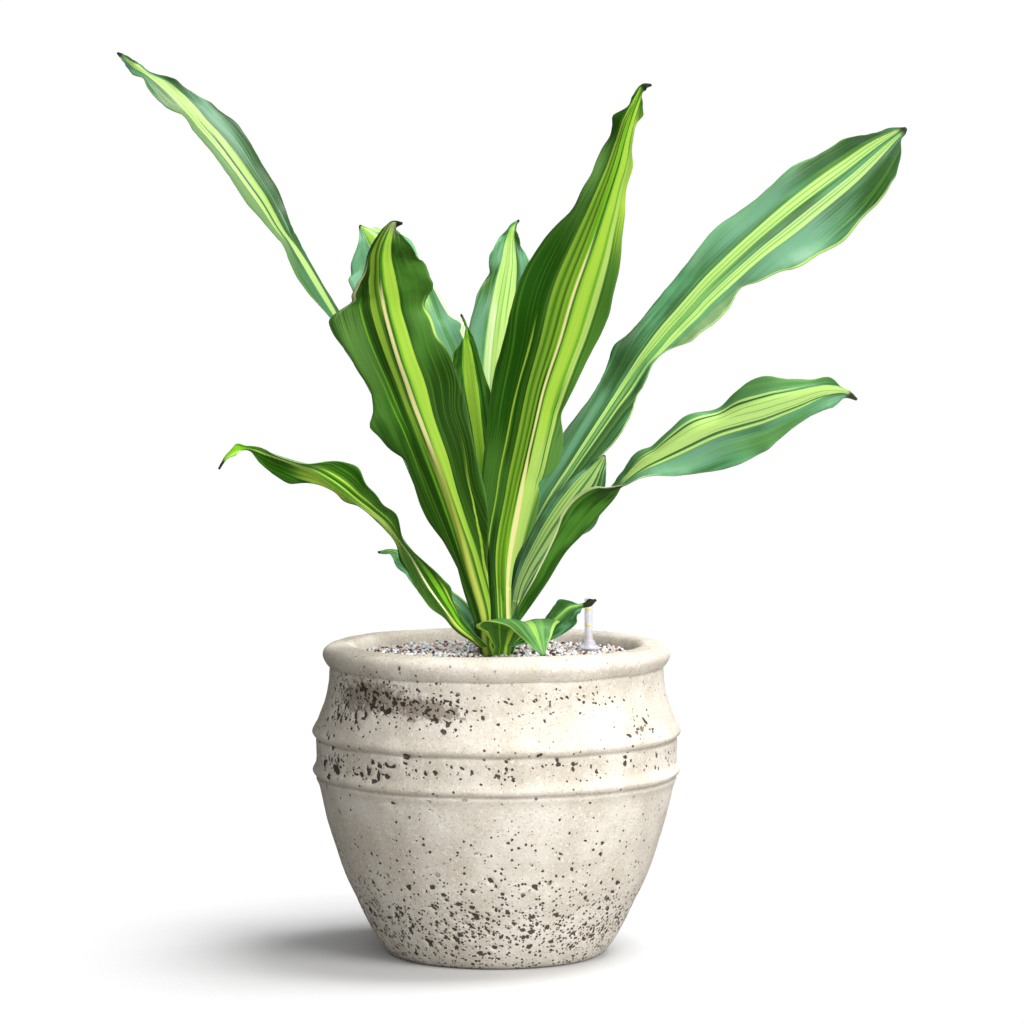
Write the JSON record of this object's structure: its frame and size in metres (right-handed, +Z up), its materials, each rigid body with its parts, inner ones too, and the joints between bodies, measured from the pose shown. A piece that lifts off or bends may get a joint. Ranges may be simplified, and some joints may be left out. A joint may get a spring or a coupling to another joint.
{
  "type": "potted corn plant",
  "caption": "Striped strap-leaved foliage plant standing in coarse grains in a turned stone planter with a rolled lip, with a water-level gauge beside it.",
  "frame": {"origin": "centre of the planter's flat base", "axes": "+Z up, -Y towards the front of the picture, +X to its right"},
  "size_m": [0.5742, 0.2801, 0.6387],
  "materials": {
    "stone": "sandy matte with dark pits",
    "grow_pot": "matte",
    "grains": "loose mineral grains, white, beige and maroon",
    "sheath": "satin leaf sheath; plant tissue",
    "clear_plastic": "clear, glossy",
    "float_red": "gloss",
    "leaf": "satin leaf, lime striped; plant tissue"
  },
  "bodies": {
    "plant": {"planter": "stone", "culture_pot": "grow_pot", "granules": "grains", "crown": "sheath", "gauge_tube": "clear_plastic", "gauge_collar": "clear_plastic", "leaf_far_left": "leaf", "leaf_front_left": "leaf", "leaf_back_left": "leaf", "leaf_young_centre": "leaf", "leaf_back_centre": "leaf", "leaf_front_right": "leaf", "leaf_upper_right": "leaf", "leaf_lower_right": "leaf", "leaf_lower_left": "leaf", "leaf_low_back_left": "leaf", "leaf_short_right": "leaf", "leaf_short_front": "leaf", "leaf_short_front_right": "leaf", "leaf_low_back": "leaf"},
    "float": {"gauge_float": "float_red"}
  },
  "joints": [
    {"name": "float_slide", "type": "slide", "parent": "plant", "child": "float", "axis": [0, 0, 1], "range_m": [0, 0.026]}
  ]
}
